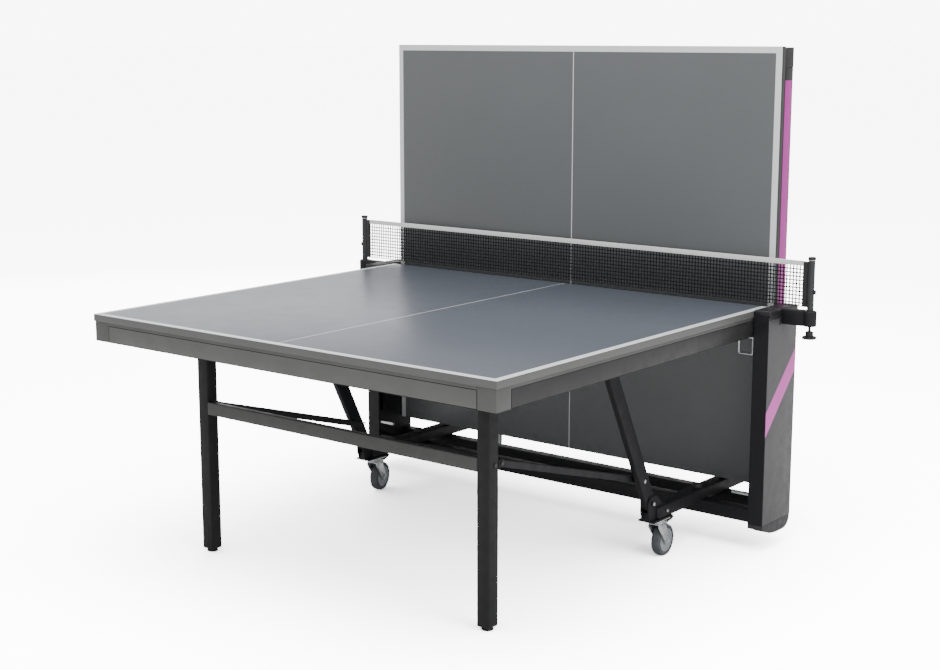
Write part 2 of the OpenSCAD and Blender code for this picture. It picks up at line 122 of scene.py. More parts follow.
def scaled_to(bm, low, high):
    low, high = Vector(low), Vector(high)
    bmesh.ops.scale(bm, vec=high - low, verts=bm.verts)
    bmesh.ops.translate(bm, vec=(low + high) / 2, verts=bm.verts)
    return bm


def rounded(bm, width, segments=2, edges=None, angle=0.4):
    """Bevels the given edges, or every edge that turns by more than the angle, in radians."""
    if edges is None:
        edges = [e for e in bm.edges if len(e.link_faces) == 2 and e.calc_face_angle(0) > angle]
    if width and edges:
        bmesh.ops.bevel(bm, geom=edges, offset=width, offset_type="OFFSET", affect="EDGES",
                        segments=segments, profile=0.5, material=-1, clamp_overlap=True)
    return bm


def block(low, high, edge=1.0, segments=2):
    bm = bmesh.new()
    bmesh.ops.create_cube(bm, size=1)
    return rounded(scaled_to(bm, low, high), edge, segments)


def square_tube(low, high, axis, corner=3.0, lip=0.6):
    """A closed tube along one axis with well rounded long edges and small end edges."""
    bm = bmesh.new()
    bmesh.ops.create_cube(bm, size=1)
    scaled_to(bm, low, high)
    long_edges = [e for e in bm.edges
                  if abs((e.verts[0].co - e.verts[1].co).normalized()[axis]) > 0.9]
    rounded(bm, corner, 4, long_edges)
    return rounded(bm, lip, 1, angle=1.2)


def prism(outline, low, high, axis="X", edge=1.0, segments=2):
    """An outline, extruded along X (outline in YZ), Y (in XZ) or Z (in XY)."""
    put = {"X": lambda p: (low, p[0], p[1]),
           "Y": lambda p: (p[0], low, p[1]),
           "Z": lambda p: (p[0], p[1], low)}[axis]
    step = {"X": (high - low, 0, 0), "Y": (0, high - low, 0), "Z": (0, 0, high - low)}[axis]
    bm = bmesh.new()
    face = bm.faces.new([bm.verts.new(put(p)) for p in outline])
    grown = bmesh.ops.extrude_face_region(bm, geom=[face])
    moved = [g for g in grown["geom"] if isinstance(g, bmesh.types.BMVert)]
    bmesh.ops.translate(bm, vec=step, verts=moved)
    bmesh.ops.recalc_face_normals(bm, faces=bm.faces)
    return rounded(bm, edge, segments)


def turned(profile, steps=40, closed=True):
    """Turns a profile of (radius, height) points about Z."""
    bm = bmesh.new()
    points = [bm.verts.new((r, 0, h)) for r, h in profile]
    ahead = points[1:] + points[:1] if closed else points[1:]
    lines = [bm.edges.new(pair) for pair in zip(points, ahead)]
    bmesh.ops.spin(bm, geom=points + lines, cent=(0, 0, 0), axis=(0, 0, 1), dvec=(0, 0, 0),
                   angle=2 * math.pi, steps=steps, use_merge=True, use_duplicate=False)
    bmesh.ops.remove_doubles(bm, verts=bm.verts, dist=0.001)
    bmesh.ops.recalc_face_normals(bm, faces=bm.faces)
    return bm


def disc(radius, low, high, edge=1.0, steps=32, bore=0):
    """A turned plug or washer about Z with eased rims."""
    ease = 0.3 * edge
    return turned([(radius - edge, low), (radius - ease, low + ease), (radius, low + edge),
                   (radius, high - edge), (radius - ease, high - ease), (radius - edge, high),
                   (bore, high), (bore, low)], steps)


def lobed(radius, depth, count, low, high, edge):
    """A grip about Z with rounded lobes round its rim."""
    n = count * 8
    outline = []
    for i in range(n):
        a = 2 * math.pi * i / n
        r = radius - depth / 2 + depth / 2 * math.cos(count * a)
        outline.append((r * math.cos(a), r * math.sin(a)))
    return rounded(prism(outline, low, high, "Z", 0), edge, 2, angle=1.2)


def placed(bm, matrix):
    bmesh.ops.transform(bm, matrix=matrix, verts=bm.verts)
    if matrix.determinant() < 0:
        bmesh.ops.reverse_faces(bm, faces=bm.faces)
    return bm


TO_X = Matrix.Rotation(math.pi / 2, 4, "Y")


def on_x(bm, x, y, z):
    """Lays a turned piece over, so its axis runs along +X from the given place."""
    return placed(bm, Matrix.Translation((x, y, z)) @ TO_X)


def at(bm, x, y, z):
    return placed(bm, Matrix.Translation((x, y, z)))


def joined(parts):
    whole = bmesh.new()
    for part in parts:
        mesh = bpy.data.meshes.new("part")
        part.to_mesh(mesh)
        part.free()
        whole.from_mesh(mesh)
        bpy.data.meshes.remove(mesh)
    return whole


def both_sides(make):
    """Two copies of what make() gives, the second mirrored across the table's middle line."""
    return joined([make(), placed(make(), Matrix.Scale(-1, 4, (1, 0, 0)))])


def both_ends(make):
    return joined([make(), placed(make(), Matrix.Scale(-1, 4, (0, 1, 0)))])


def piece(name, bm, matrix, finish, body, replaced=(), smooth=0.6):
    """Makes the finished object: placed, shaded, riding on its body."""
    placed(bm, matrix)
    mesh = bpy.data.meshes.new(name)
    bm.to_mesh(mesh)
    bm.free()
    mesh.materials.append(finish)
    obj = bpy.data.objects.new(name, mesh)
    bpy.context.collection.objects.link(obj)
    if smooth:
        mesh.shade_smooth()
        mesh.set_sharp_from_angle(angle=smooth)
    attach(obj, body)
    if replaced:
        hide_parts(*replaced)
    return obj


# ---------- Finishes ----------

class Finish:
    """A material whose nodes read Object coordinates, in metres."""

    def __init__(self, name, metallic=0.0, roughness=0.5, **settings):
        self.material = bpy.data.materials.new(name)
        self.material.use_nodes = True
        self.tree = self.material.node_tree
        self.tree.nodes.clear()
        self.shader = self.tree.nodes.new("ShaderNodeBsdfPrincipled")
        out = self.tree.nodes.new("ShaderNodeOutputMaterial")
        self.tree.links.new(self.shader.outputs["BSDF"], out.inputs["Surface"])
        self.shader.inputs["Metallic"].default_value = metallic
        self.shader.inputs["Roughness"].default_value = roughness
        for key, value in settings.items():
            self.shader.inputs[key.replace("_", " ")].default_value = value
        coords = self.tree.nodes.new("ShaderNodeTexCoord")
        self.place = coords.outputs["Object"]

    def node(self, kind, inputs=(), **settings):
        made = self.tree.nodes.new(kind)
        for key, value in settings.items():
            setattr(made, key, value)
        for key, value in dict(inputs).items():
            if isinstance(value, bpy.types.NodeSocket):
                self.tree.links.new(value, made.inputs[key])
            else:
                made.inputs[key].default_value = value
        return made

    def noise(self, scale, detail=3.0, stretch=None):
        where = self.place
        if stretch:
            mapped = self.node("ShaderNodeMapping", {"Vector": self.place, "Scale": stretch})
            where = mapped.outputs[0]
        made = self.node("ShaderNodeTexNoise", {"Vector": where, "Scale": scale, "Detail": detail})
        return made.outputs["Fac"]

    def spread(self, value, low, high, start=0.35, end=0.65):
        return self.node("ShaderNodeMapRange", {"Value": value, "From Min": start, "From Max": end,
                                                "To Min": low, "To Max": high}).outputs[0]

    def mix(self, share, first, second):
        made = self.node("ShaderNodeMix", data_type="RGBA")
        sockets = (made.inputs[0], made.inputs[6], made.inputs[7])
        for socket, value in zip(sockets, (share, first, second)):
            if isinstance(value, bpy.types.NodeSocket):
                self.tree.links.new(value, socket)
            else:
                socket.default_value = value if isinstance(value, (int, float)) else (*value, 1.0)
        return made.outputs[2]

    def maths(self, operation, first, second=0.0, third=0.0):
        made = self.node("ShaderNodeMath", {0: first, 1: second, 2: third}, operation=operation)
        return made.outputs[0]

    def axes(self):
        split = self.node("ShaderNodeSeparateXYZ", {"Vector": self.place})
        return split.outputs["X"], split.outputs["Y"], split.outputs["Z"]

    def wire(self, socket, value):
        self.tree.links.new(value, self.shader.inputs[socket])

    def bump(self, height, strength, distance):
        made = self.node("ShaderNodeBump",
                         {"Height": height, "Strength": strength, "Distance": distance})
        self.wire("Normal", made.outputs["Normal"])


def darker(colour, share):
    return tuple(c * share for c in colour)


def coloured(finish, base, spread=0.12, scale=9.0, fine=420.0):
    """Lays slow and fine variation over a colour, given as numbers or as a socket."""
    slow = finish.spread(finish.noise(scale), 0.0, 1.0)
    speck = finish.spread(finish.noise(fine, 2.0), 0.0, 1.0)
    share = finish.maths("MULTIPLY_ADD", speck, 0.45, finish.maths("MULTIPLY", slow, 0.55))
    if isinstance(base, tuple):
        lighter = tuple(min(1.0, c * (1 + spread)) for c in base)
        return finish.mix(share, darker(base, 1 - spread), lighter)
    shade = finish.spread(share, 1 - spread, 1 + spread, 0.0, 1.0)
    scaled = finish.node("ShaderNodeVectorMath", {0: base}, operation="SCALE")
    finish.tree.links.new(shade, scaled.inputs["Scale"])
    return scaled.outputs[0]


def paint(name, base, roughness=0.42, metallic=0.0, spread=0.10, **more):
    """Powder coat or lacquer: fine orange peel, slow mottling, uneven gloss."""
    f = Finish(name, metallic, roughness, **more)
    f.wire("Base Color", coloured(f, base, spread))
    f.wire("Roughness", f.spread(f.noise(30.0), roughness - 0.06, roughness + 0.08))
    f.bump(f.noise(900.0, 2.0), 0.35, 0.00006)
    return f.material


def plastic(name, base, roughness=0.5):
    """Moulded plastic with a fine texture."""
    f = Finish(name, 0.0, roughness)
    f.wire("Base Color", coloured(f, base, 0.14, 25.0))
    f.wire("Roughness", f.spread(f.noise(60.0), roughness - 0.08, roughness + 0.10))
    f.bump(f.noise(1400.0, 4.0), 0.5, 0.00012)
    return f.material


def bright_metal(name, base=(0.74, 0.75, 0.76), roughness=0.30):
    """Zinc plate: small crystals and brushed streaks."""
    f = Finish(name, 1.0, roughness)
    cells = f.node("ShaderNodeTexVoronoi", {"Vector": f.place, "Scale": 260.0}).outputs["Distance"]
    f.wire("Base Color", f.mix(f.spread(cells, 0.0, 1.0, 0.1, 0.7), darker(base, 0.86), base))
    f.wire("Roughness", f.spread(f.noise(120.0, 4.0), roughness - 0.08, roughness + 0.12))
    f.bump(f.noise(600.0, 3.0, (1.0, 6.0, 1.0)), 0.3, 0.00004)
    return f.material


def rubbery(name, base, roughness=0.7):
    """Matt rubber or cord with a rough skin."""
    f = Finish(name, 0.0, roughness)
    f.wire("Base Color", coloured(f, base, 0.2, 40.0))
    f.wire("Roughness", f.spread(f.noise(90.0), roughness - 0.1, roughness + 0.15))
    f.bump(f.noise(1100.0, 4.0), 0.6, 0.0002)
    return f.material


def woven(name, base, pitch):
    """Plain weave with threads along X and Z, pitch in metres."""
    f = Finish(name, 0.0, 0.85, Sheen_Weight=0.3)
    x, _, z = f.axes()
    turn = 2 * math.pi / pitch
    warp = f.maths("SINE", f.maths("MULTIPLY", x, turn))
    weft = f.maths("SINE", f.maths("MULTIPLY", z, turn))
    height = f.maths("MULTIPLY", warp, weft)
    f.wire("Base Color", f.mix(f.spread(height, 0.0, 1.0, -1.0, 1.0), darker(base, 0.8), base))
    f.bump(height, 0.4, pitch * 0.25)
    return f.material


# These two are one board paint with painted light: the first's bluish tone is a painted sky
# reflection on the lying half, the second's neutral tone is the upright half as it is lit.
SURFACE = (0.098, 0.110, 0.136)
UPRIGHT_SURFACE_AS_LIT = (0.122, 0.130, 0.133)
# EDGE is the rails' anthracite; the next colour is the same anthracite with painted shade, for the
# upright half's rails, corners, board rim and panel ends.
EDGE = (0.120, 0.121, 0.118)
SHADED_EDGE = (0.026, 0.026, 0.028)
LINE = (0.80, 0.81, 0.82)

# The lines on the playing surface, in metres
SIDE_LINE = 0.020
CENTRE_LINE = 0.003


def playing_surface(name, colour, rim, along, end, face_axis, face, towards):
    """Satin board paint with side, end and centre lines on its playing face only.

    along is the axis of the length, end is where the end line lies and towards says
    which way is inwards.
    """
    f = Finish(name, 0.0, 0.34, Specular_IOR_Level=0.55)
    axes = f.axes()
    x = f.maths("ABSOLUTE", axes[0])
    side = f.maths("GREATER_THAN", x, HALF_X / 1000 - SIDE_LINE)
    middle = f.maths("LESS_THAN", x, CENTRE_LINE / 2)
    inwards = f.maths("MULTIPLY", f.maths("SUBTRACT", axes[along], end), towards)
    end_line = f.maths("LESS_THAN", inwards, SIDE_LINE)
    lines = f.maths("MAXIMUM", f.maths("MAXIMUM", side, middle), end_line)
    depth = f.maths("ABSOLUTE", f.maths("SUBTRACT", axes[face_axis], face))
    lines = f.maths("MULTIPLY", lines, f.maths("LESS_THAN", depth, 0.0012))
    ground = f.mix(f.maths("LESS_THAN", depth, 0.0016),
                   coloured(f, rim, 0.06), coloured(f, colour, 0.04, 3.0, 700.0))
    f.wire("Base Color", f.mix(lines, ground, coloured(f, LINE, 0.03, 8.0, 500.0)))
    f.wire("Roughness", f.spread(f.noise(14.0), 0.325, 0.355))
    f.bump(f.noise(1500.0, 2.0), 0.35, 0.00008)
    return f.material


def apron_paint(name, base, along, end, towards):
    """Anthracite rail paint with painted shade: black in the pocket behind the trim panels."""
    f = Finish(name, 0.55, 0.40)
    axes = f.axes()
    inner_x = f.maths("LESS_THAN", f.maths("ABSOLUTE", axes[0]), (RAIL_X - POCKET) / 1000)
    inwards = f.maths("MULTIPLY", f.maths("SUBTRACT", axes[along], end), towards)
    inner_end = f.maths("GREATER_THAN", inwards, POCKET / 1000)
    # Painted shade: rail faces inside the pocket behind the trim panels are black.
    pocket = f.maths("MULTIPLY", inner_x, inner_end)
    f.wire("Base Color", f.mix(pocket, coloured(f, base, 0.08), (0.012, 0.012, 0.013)))
    f.wire("Roughness", f.spread(f.noise(30.0), 0.34, 0.48))
    f.bump(f.noise(900.0, 2.0), 0.3, 0.00006)
    return f.material


def fading_panel(name, low, high, bottom, top, end):
    """Metallic panel paint that fades up the height from one colour to another and ends dark."""
    f = Finish(name, 0.25, 0.36)
    z = f.axes()[2]
    fade = f.mix(f.spread(z, 0.0, 1.0, low, high), bottom, top)
    # The panel's end takes the anthracite with painted shade.
    shade = f.mix(f.maths("GREATER_THAN", z, end), fade, SHADED_EDGE)
    f.wire("Base Color", coloured(f, shade, 0.05))
    f.wire("Roughness", f.spread(f.noise(30.0), 0.30, 0.42))
    f.bump(f.noise(900.0, 2.0), 0.3, 0.00006)
    return f.material


def striped_cover(name, base, stripe):
    """Anthracite cover with a light slanting stripe."""
    f = Finish(name, 0.45, 0.40)
    _, y, z = f.axes()
    along = f.maths("SUBTRACT", y, net_y)
    from_edge = f.maths("ADD", along, 0.090)
    rise = f.maths("MULTIPLY", from_edge, 1.039)
    above = f.maths("SUBTRACT", z, f.maths("ADD", rise, 0.371))
    wide = f.maths("MULTIPLY_ADD", from_edge, -0.04, 0.078)
    over, under = f.maths("GREATER_THAN", above, 0.0), f.maths("LESS_THAN", above, wide)
    band = f.maths("MULTIPLY", over, under)
    # Painted shade and light: the cover is darker towards the bottom and lighter towards the top.
    shade = f.mix(f.spread(z, 0.0, 1.0, 0.1, 0.72), darker(base, 0.80), darker(base, 1.15))
    f.wire("Base Color", f.mix(band, coloured(f, shade, 0.03), coloured(f, stripe, 0.03)))
    f.wire("Roughness", f.spread(f.noise(30.0), 0.34, 0.48))
    f.bump(f.noise(900.0, 2.0), 0.3, 0.00006)
    return f.material


black_steel = paint("black_powder_coat", (0.009, 0.009, 0.011), 0.5, Specular_IOR_Level=0.32)
leg_grey = paint("leg_powder_coat", (0.012, 0.012, 0.013), 0.5, Specular_IOR_Level=0.3)
bar_grey = paint("bar_powder_coat", (0.072, 0.072, 0.070), 0.45, 0.2)
stay_grey = paint("stay_powder_coat", (0.014, 0.014, 0.016), 0.5, Specular_IOR_Level=0.35)
dark_bolt = bright_metal("dark_bolt", (0.10, 0.10, 0.105), 0.4)
panel_near = paint("near_panel_paint", (0.055, 0.055, 0.057), 0.36, 0.5, spread=0.07)
panel_end = paint("end_panel_paint", (0.140, 0.141, 0.136), 0.36, 0.5, spread=0.07)
corner_paint = paint("corner_paint", EDGE, 0.36, 0.5, spread=0.07)
far_corner_shaded_paint = paint("far_corner_shaded_paint", SHADED_EDGE, 0.40, 0.2, spread=0.07)
y_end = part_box("near_board")[0][1]
z_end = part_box("far_board")[1][2]
post_paint = paint("post_paint", (0.045, 0.046, 0.048), 0.4, 0.3)
zinc = bright_metal("bright_zinc")
black_plastic = plastic("black_plastic", (0.012, 0.012, 0.013))
cap_plastic = plastic("cap_plastic", (0.016, 0.016, 0.018), 0.42)
shoe_plastic = plastic("shoe_plastic", (0.030, 0.030, 0.033), 0.45)
hub_plastic = plastic("hub_plastic", (0.34, 0.37, 0.39), 0.42)
tread = rubbery("grey_tread", (0.085, 0.093, 0.098))
bumper_rubber = rubbery("bumper_rubber", (0.015, 0.015, 0.016))
net_cord = rubbery("net_cord", (0.010, 0.010, 0.011), 0.85)
sleeve_cloth = woven("sleeve_cloth", (0.014, 0.014, 0.015), 0.0012)
tape_cloth = woven("tape_cloth", (0.86, 0.86, 0.85), 0.0009)
cover_paint = striped_cover("cover_paint", (0.115, 0.115, 0.119), (0.80, 0.16, 0.60))
far_panel = fading_panel("far_panel_paint", 0.30, 1.50, (0.58, 0.11, 0.44), (0.50, 0.035, 0.36),
                         z_end - 0.102)
# The two boards take one paint in two painted lightings.
near_surface = playing_surface("near_surface", SURFACE, EDGE, 1, y_end, 2, TOP / 1000, 1)
far_surface_as_lit = playing_surface("far_surface_as_lit", UPRIGHT_SURFACE_AS_LIT, SHADED_EDGE, 2, z_end, 1,
                              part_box("far_board")[0][1], -1)
# The upright half's rails take the anthracite with painted shade.
near_apron = apron_paint("near_apron", EDGE, 1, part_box("near_end_rails")[0][1], 1)
far_apron_shaded = apron_paint("far_apron_shaded", SHADED_EDGE, 2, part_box("far_end_rails")[1][2], -1)


def dress(node, finish):
    """Puts a finish on a carried-over node."""
    mesh = nodes[node].data
    mesh.materials.clear()
    mesh.materials.append(finish)


# ---------- Halves ----------

def board():
    return block((-HALF_X, 1, BOARD_LOW), (HALF_X, HALF_L, TOP), 1.6, 3)


def corner_caps():
    def one():
        o, i = RAIL_X, RAIL_X - CORNER
        e, b = RAIL_END, RAIL_END - CORNER
        outline = [(i, e), (o, e), (o, b),
                   (o - RAIL_T, b), (o - RAIL_T, e - RAIL_T), (i, e - RAIL_T)]
        return prism(outline, RAIL_LOW, BOARD_LOW, "Z", 1.2, 3)
    return both_sides(one)


def side_panels():
    return both_sides(lambda: block((RAIL_X - PANEL_IN, 70, PANEL_LOW),
                                    (RAIL_X - PANEL_OUT, RAIL_END - CORNER - 2, PANEL_TOP), 0.45))


def end_panel():
    x = RAIL_X - CORNER - 2
    return block((-x, RAIL_END - PANEL_IN, PANEL_LOW),
                 (x, RAIL_END - PANEL_OUT, PANEL_TOP), 0.45)


def release_loop():
    """The cross rod and the finger loop at each end, bent from round wire."""
    y, top, low, left, right, bend = 64, 671, 618, 702.5, 750.5, 5
    quarter = [math.pi / 2 * i / 5 for i in range(6)]

    def loop():
        path = [(left, y, top), (left, y, low + bend)]
        path += [(left + bend * (1 - math.cos(a)), y, low + bend - bend * math.sin(a))
                 for a in quarter[1:]]
        path += [(right - bend * (1 - math.sin(a)), y, low + bend * (1 - math.cos(a)))
                 for a in quarter]
        return wire(path + [(right, y, top)], 3)
    rod = on_x(disc(4, -754.5, 754.5, 0.6, 16), 0, y, top)
    return joined([both_sides(loop), rod])


def wire(path, radius, sides=12):
    """Sweeps a round section along a path of points."""
    curve = bpy.data.curves.new("wire", "CURVE")
    curve.dimensions = "3D"
    curve.bevel_depth = radius
    curve.bevel_resolution = sides // 4
    curve.use_fill_caps = True
    line = curve.splines.new("POLY")
    line.points.add(len(path) - 1)
    for point, place in zip(line.points, path):
        point.co = (*place, 1)
    holder = bpy.data.objects.new("wire", curve)
    bpy.context.collection.objects.link(holder)
    depsgraph = bpy.context.evaluated_depsgraph_get()
    mesh = bpy.data.meshes.new_from_object(holder.evaluated_get(depsgraph))
    bm = bmesh.new()
    bm.from_mesh(mesh)
    bpy.data.objects.remove(holder)
    bpy.data.curves.remove(curve)
    bpy.data.meshes.remove(mesh)
    return bm


def leg_frame():
    w = LEG_W / 2

    def leg():
        tube = square_tube((LEG_X - w, LEG_Y - w, 13), (LEG_X + w, LEG_Y + w, LEG_PIVOT_Z + w),
                           2, 4)
        out, back, low, high = LEG_Y - w - 21, LEG_Y - w + 2, BAR_Z - 11, BAR_Z + 11
        lugs = [prism([(out, low), (back, low), (back, high), (out, high)], x, x + 3, "X", 0.8)
                for x in (STAY_X - 11.5, STAY_X + 8.5)]
        return joined([tube] + lugs)
    return both_sides(leg)


def leg_bar():
    w = LEG_W / 2
    return square_tube((-LEG_X + w - 1, LEG_Y + w - 20, BAR_Z - 20),
                       (LEG_X - w + 1, LEG_Y + w, BAR_Z + 20), 0, 4)


def leg_ends():
    w = LEG_W / 2 - 0.4

    def one():
        return joined([block((LEG_X - w, LEG_Y - w, low), (LEG_X + w, LEG_Y + w, high), 3, 3)
                       for low, high in ((10, 24), (LEG_PIVOT_Z + 12, LEG_PIVOT_Z + w + 0.4))])
    return both_sides(one)


def leg_bolts():
    def one():
        out = LEG_X + LEG_W / 2
        return joined([on_x(disc(6.5, -1, 3.2, 1.6, 24), out, LEG_Y - 6, BAR_Z),
                       on_x(disc(8, 0, 4.2, 1.2, 6), out + 5, LEG_Y, LEG_PIVOT_Z),
                       on_x(disc(7, 0, 4, 1.2, 6), STAY_X + 11, STAY_Y, BAR_Z)])
    return both_sides(one)


def screw_foot(side):
    """A round pad on a ridged stem."""
    pad = turned([(0, 0), (15, 0), (16.6, 1), (17, 3), (16.2, 5.6), (13, 7.6), (7, 8.4),
                  (7, 9.6), (0, 9.6)], 36, closed=False)
    ridges = [(5.2 if i % 2 else 6, 10 + i) for i in range(20)]
    stem = turned([(0, 9.5)] + ridges + [(6, 30), (0, 30)], 24, closed=False)
    return at(joined([pad, stem]), side * LEG_X, LEG_Y, 0)


def stays():
    def one():
        tube = square_tube((-8, -STAY_L + 12, -10), (8, -9, 10), 1, 2.5)
        eye_end = on_x(disc(10, -8, 8, 0.8, 28), 0, 0, 0)
        outline = [(15, -10), (15, 10), (-12, 10), (-14, 8), (-14, 6.8), (7.4, 6.8), (7.4, -10)]
        hook = prism([(y - STAY_L, z) for y, z in outline], -7.8, 7.8, "X", 0.7)
        return at(joined([tube, eye_end, hook]), STAY_X, 0, 0)
    return both_sides(one)


def arms():
    def one():
        bar = square_tube((-10, -24, 16), (10, 24, ARM_L - 47), 2, 3)
        turns = [-math.pi * i / 14 for i in range(15)]
        round_end = [(24 * math.cos(a), 24 * math.sin(a)) for a in turns]
        foot = prism([(24, 20)] + round_end + [(-24, 20)], -9.8, 9.8, "X", 1)
        tongue = block((-5, -9, ARM_L - 60), (5, 9, ARM_L + 2), 1)
        rollers = [on_x(disc(11, x, x + 4.5, 0.7, 28), 0, 0, ARM_L) for x in (-10, 5.5)]
        stud = on_x(disc(6, -33, -9, 0.8, 24), 0, 0, STUD_UP)
        return at(joined([bar, foot, tongue, *rollers, stud]), BEAM_X, 0, 0)
    return both_sides(one)


def arm_bolts():
    return both_sides(lambda: on_x(disc(7, 9, 14, 1.4, 6), BEAM_X, 0, STUD_UP))


near_arm = NEAR @ about_x(*ARM_PIVOT, -ARM_LEAN)
far_arm = FAR @ about_x(*ARM_PIVOT, -ARM_LEAN + ARM_SWING)
near_stay = NEAR @ about_x(STAY_Y, BAR_Z, STAY_DIP)
far_stay = FAR_LEGS @ about_x(STAY_Y, BAR_Z, math.pi / 2)

for (half, flat, legs_place, arm_place, stay_place,
     surface, corner, side_paint, end_paint, apron) in (
        ("near", NEAR, NEAR, near_arm, near_stay,
         near_surface, corner_paint, panel_near, panel_end, near_apron),
        ("far", UPRIGHT, FAR_LEGS, far_arm, far_stay,
         far_surface_as_lit, far_corner_shaded_paint, far_panel, far_panel, far_apron_shaded)):
    pieces = (
        ("playing_board", board, flat, surface, "half", "board", "board", 0.3),
        ("corner_pieces", corner_caps, flat, corner, "half", "trim", "corner_caps", 0.6),
        ("side_panels", side_panels, flat, side_paint, "half", "panel_" + half, "trim_panels", 0.6),
        ("end_panel", end_panel, flat, end_paint, "half", "panel_" + half, None, 0.6),
        ("release_wire", release_loop, flat, zinc, "release", "zinc", "release_bar", 0.6),
        ("leg_frame", leg_frame, legs_place, leg_grey, "legs", "leg_steel", "legs", 0.6),
        ("leg_bar", leg_bar, legs_place, bar_grey, "legs", "leg_steel", None, 0.6),
        ("leg_end_plugs", leg_ends, legs_place, black_plastic, "legs", "black_plastic", None, 0.6),
        ("leg_bolts", leg_bolts, legs_place, dark_bolt, "legs", "leg_steel", None, 0.6),
        ("stay_bars", stays, stay_place, stay_grey, "stays", "leg_steel", "stays", 0.6),
        ("arm_bars", arms, arm_place, black_steel, "arms", "black_steel", "arms", 0.6),
        ("arm_bolts", arm_bolts, arm_place, zinc, "arms", "zinc", None, 0.6))
    for name, make, place, finish, body, slot, node, smooth in pieces:
        stands_for = [f"{half}_{node}"] if node else ()
        piece(f"{half}_{name}", make(), place, finish, f"{half}_{body}", stands_for, smooth)
    for side, word in ((-1, "left"), (1, "right")):
        foot = f"{half}_foot_{word}"
        piece(foot + "_pad", screw_foot(side), legs_place, black_plastic, foot,
              [foot])
    for node, finish in (("side_rails", apron), ("end_rails", apron),
                         ("cross_members", black_steel), ("long_members", black_steel),
                         ("leg_brackets", black_steel), ("guide_pins", zinc)):
        dress(f"{half}_{node}", finish)

# ---------- Undercarriage ----------

ROOT = "undercarriage"


def beams():
    return both_sides(lambda: square_tube((555, -350, 133), (605, 350, 171), 1, 4))


def cross_tubes():
    return both_ends(lambda: square_tube((-COL_IN, 45, 90), (COL_IN, 85, 133), 0, 3))


def beam_plugs():
    def corner():
        return block((557, 347, 135), (603, 353, 169), 2.5, 3)
    return both_ends(lambda: both_sides(corner))


def covers():
    return both_sides(lambda: block((COL_OUT, -90, 88), (COL_OUT + 2, 90, 742), 0.8, 3))


def shoes():
    def one():
        e = 90
        r = 40
        turns = [-math.pi / 2 + math.pi / 2 * i / 12 for i in range(13)]
        curve = [(e - r + r * math.cos(a), 88 + r * math.sin(a)) for a in turns]
        outline = [(-e, 88), (-e, 73), (-e + 22, 66), (-e + 50, 54), (0, 48)] + curve
        return prism(outline, COL_IN, COL_OUT + 2, "X", 2.2, 3)
    return both_sides(one)


def column_caps():
    def one():
        lid = block((COL_IN, 17, 746), (COL_OUT + 5, 90, 762), 2.5, 3)
        skirt = prism([(17, 748), (90, 748), (90, 734), (25, 734), (25, 712), (17, 712)],
                      COL_OUT + 2, COL_OUT + 5)
        return joined([lid, skirt])
    return both_ends(lambda: both_sides(one))


def bumpers():
    def pad():
        return at(turned([(0, 171), (14, 171), (15, 172), (15, 180), (13, 184), (9, 185), (0, 185)],
                         32, closed=False), BEAM_X, 85, 0)
    return both_ends(lambda: both_sides(pad))


def carriage_bolts():
    def corner():
        return joined([on_x(disc(6, 0, 4, 1.2, 6), 605, 305, 152),
                       on_x(disc(7, 19, 23, 1.4, 6), BEAM_X, *ARM_PIVOT)])
    return both_ends(lambda: both_sides(corner))


def net_brackets():
    def one():
        tongue = block((COL_IN + 3, -16, 746), (COL_OUT + 4, 16, 762), 1.5)
        arm = block((COL_OUT + 2, -16, 715), (POST_X - 14, 16, 762), 3, 3)
        holder = at(turned([(10.05, 762), (18, 762), (20, 760), (20, 717), (18, 715), (5, 715),
                            (5, 725), (10.05, 725)], 48), POST_X, 0, 0)
        return joined([tongue, arm, holder])
    return both_sides(one)


piece("beam_tubes", beams(), FAR, black_steel, ROOT, ["beams"])
piece("cross_bars", cross_tubes(), FAR, black_steel, ROOT, ["cross_tubes"])
piece("beam_end_plugs", beam_plugs(), FAR, black_plastic, ROOT)
piece("side_covers", covers(), FAR, cover_paint, ROOT, ["column_covers"])
piece("foot_shoes", shoes(), FAR, shoe_plastic, ROOT, ["column_shoes"])
piece("top_caps", column_caps(), FAR, cap_plastic, ROOT, ["column_caps"])
piece("bumper_pads", bumpers(), FAR, bumper_rubber, ROOT, ["beam_bumpers"])
piece("carriage_bolts", carriage_bolts(), FAR, zinc, ROOT, ["frame_bolts"])
piece("net_bracket_arms", net_brackets(), FAR, black_steel, ROOT, ["net_brackets"])
dress("columns", black_steel)
dress("arm_brackets", black_steel)
dress("caster_plates", zinc)
dress("rest_pins", zinc)

# ---------- Net ----------

SLEEVE_W = 17
NET_X = POST_X - 10 - SLEEVE_W
MESH_TOP = NET_TOP - 15


def posts():
    def one():
        tube = turned([(0, 733), (9, 733), (10, 734), (10, 917), (10, 918.5), (0, 918.5)],
                      36, closed=False)
        return at(tube, POST_X, 0, 0)
    return both_sides(one)


def post_caps():
    """The cap on each post and a small round catch on its outer side."""
    def one():
        cap = at(turned([(0, 918.5), (11.2, 918.5), (12, 919.5), (12, 924), (10, 926.2),
                         (0, 926.5)], 36, closed=False), POST_X, 0, 0)
        catch = on_x(lobed(7, 1.6, 8, 9, 15, 0.8), POST_X, 0, 820)
        return joined([cap, catch])
    return both_sides(one)


def post_rings():
    return both_sides(lambda: at(disc(10.5, 916, 918.2, 0.4, 36, bore=9.9), POST_X, 0, 0))


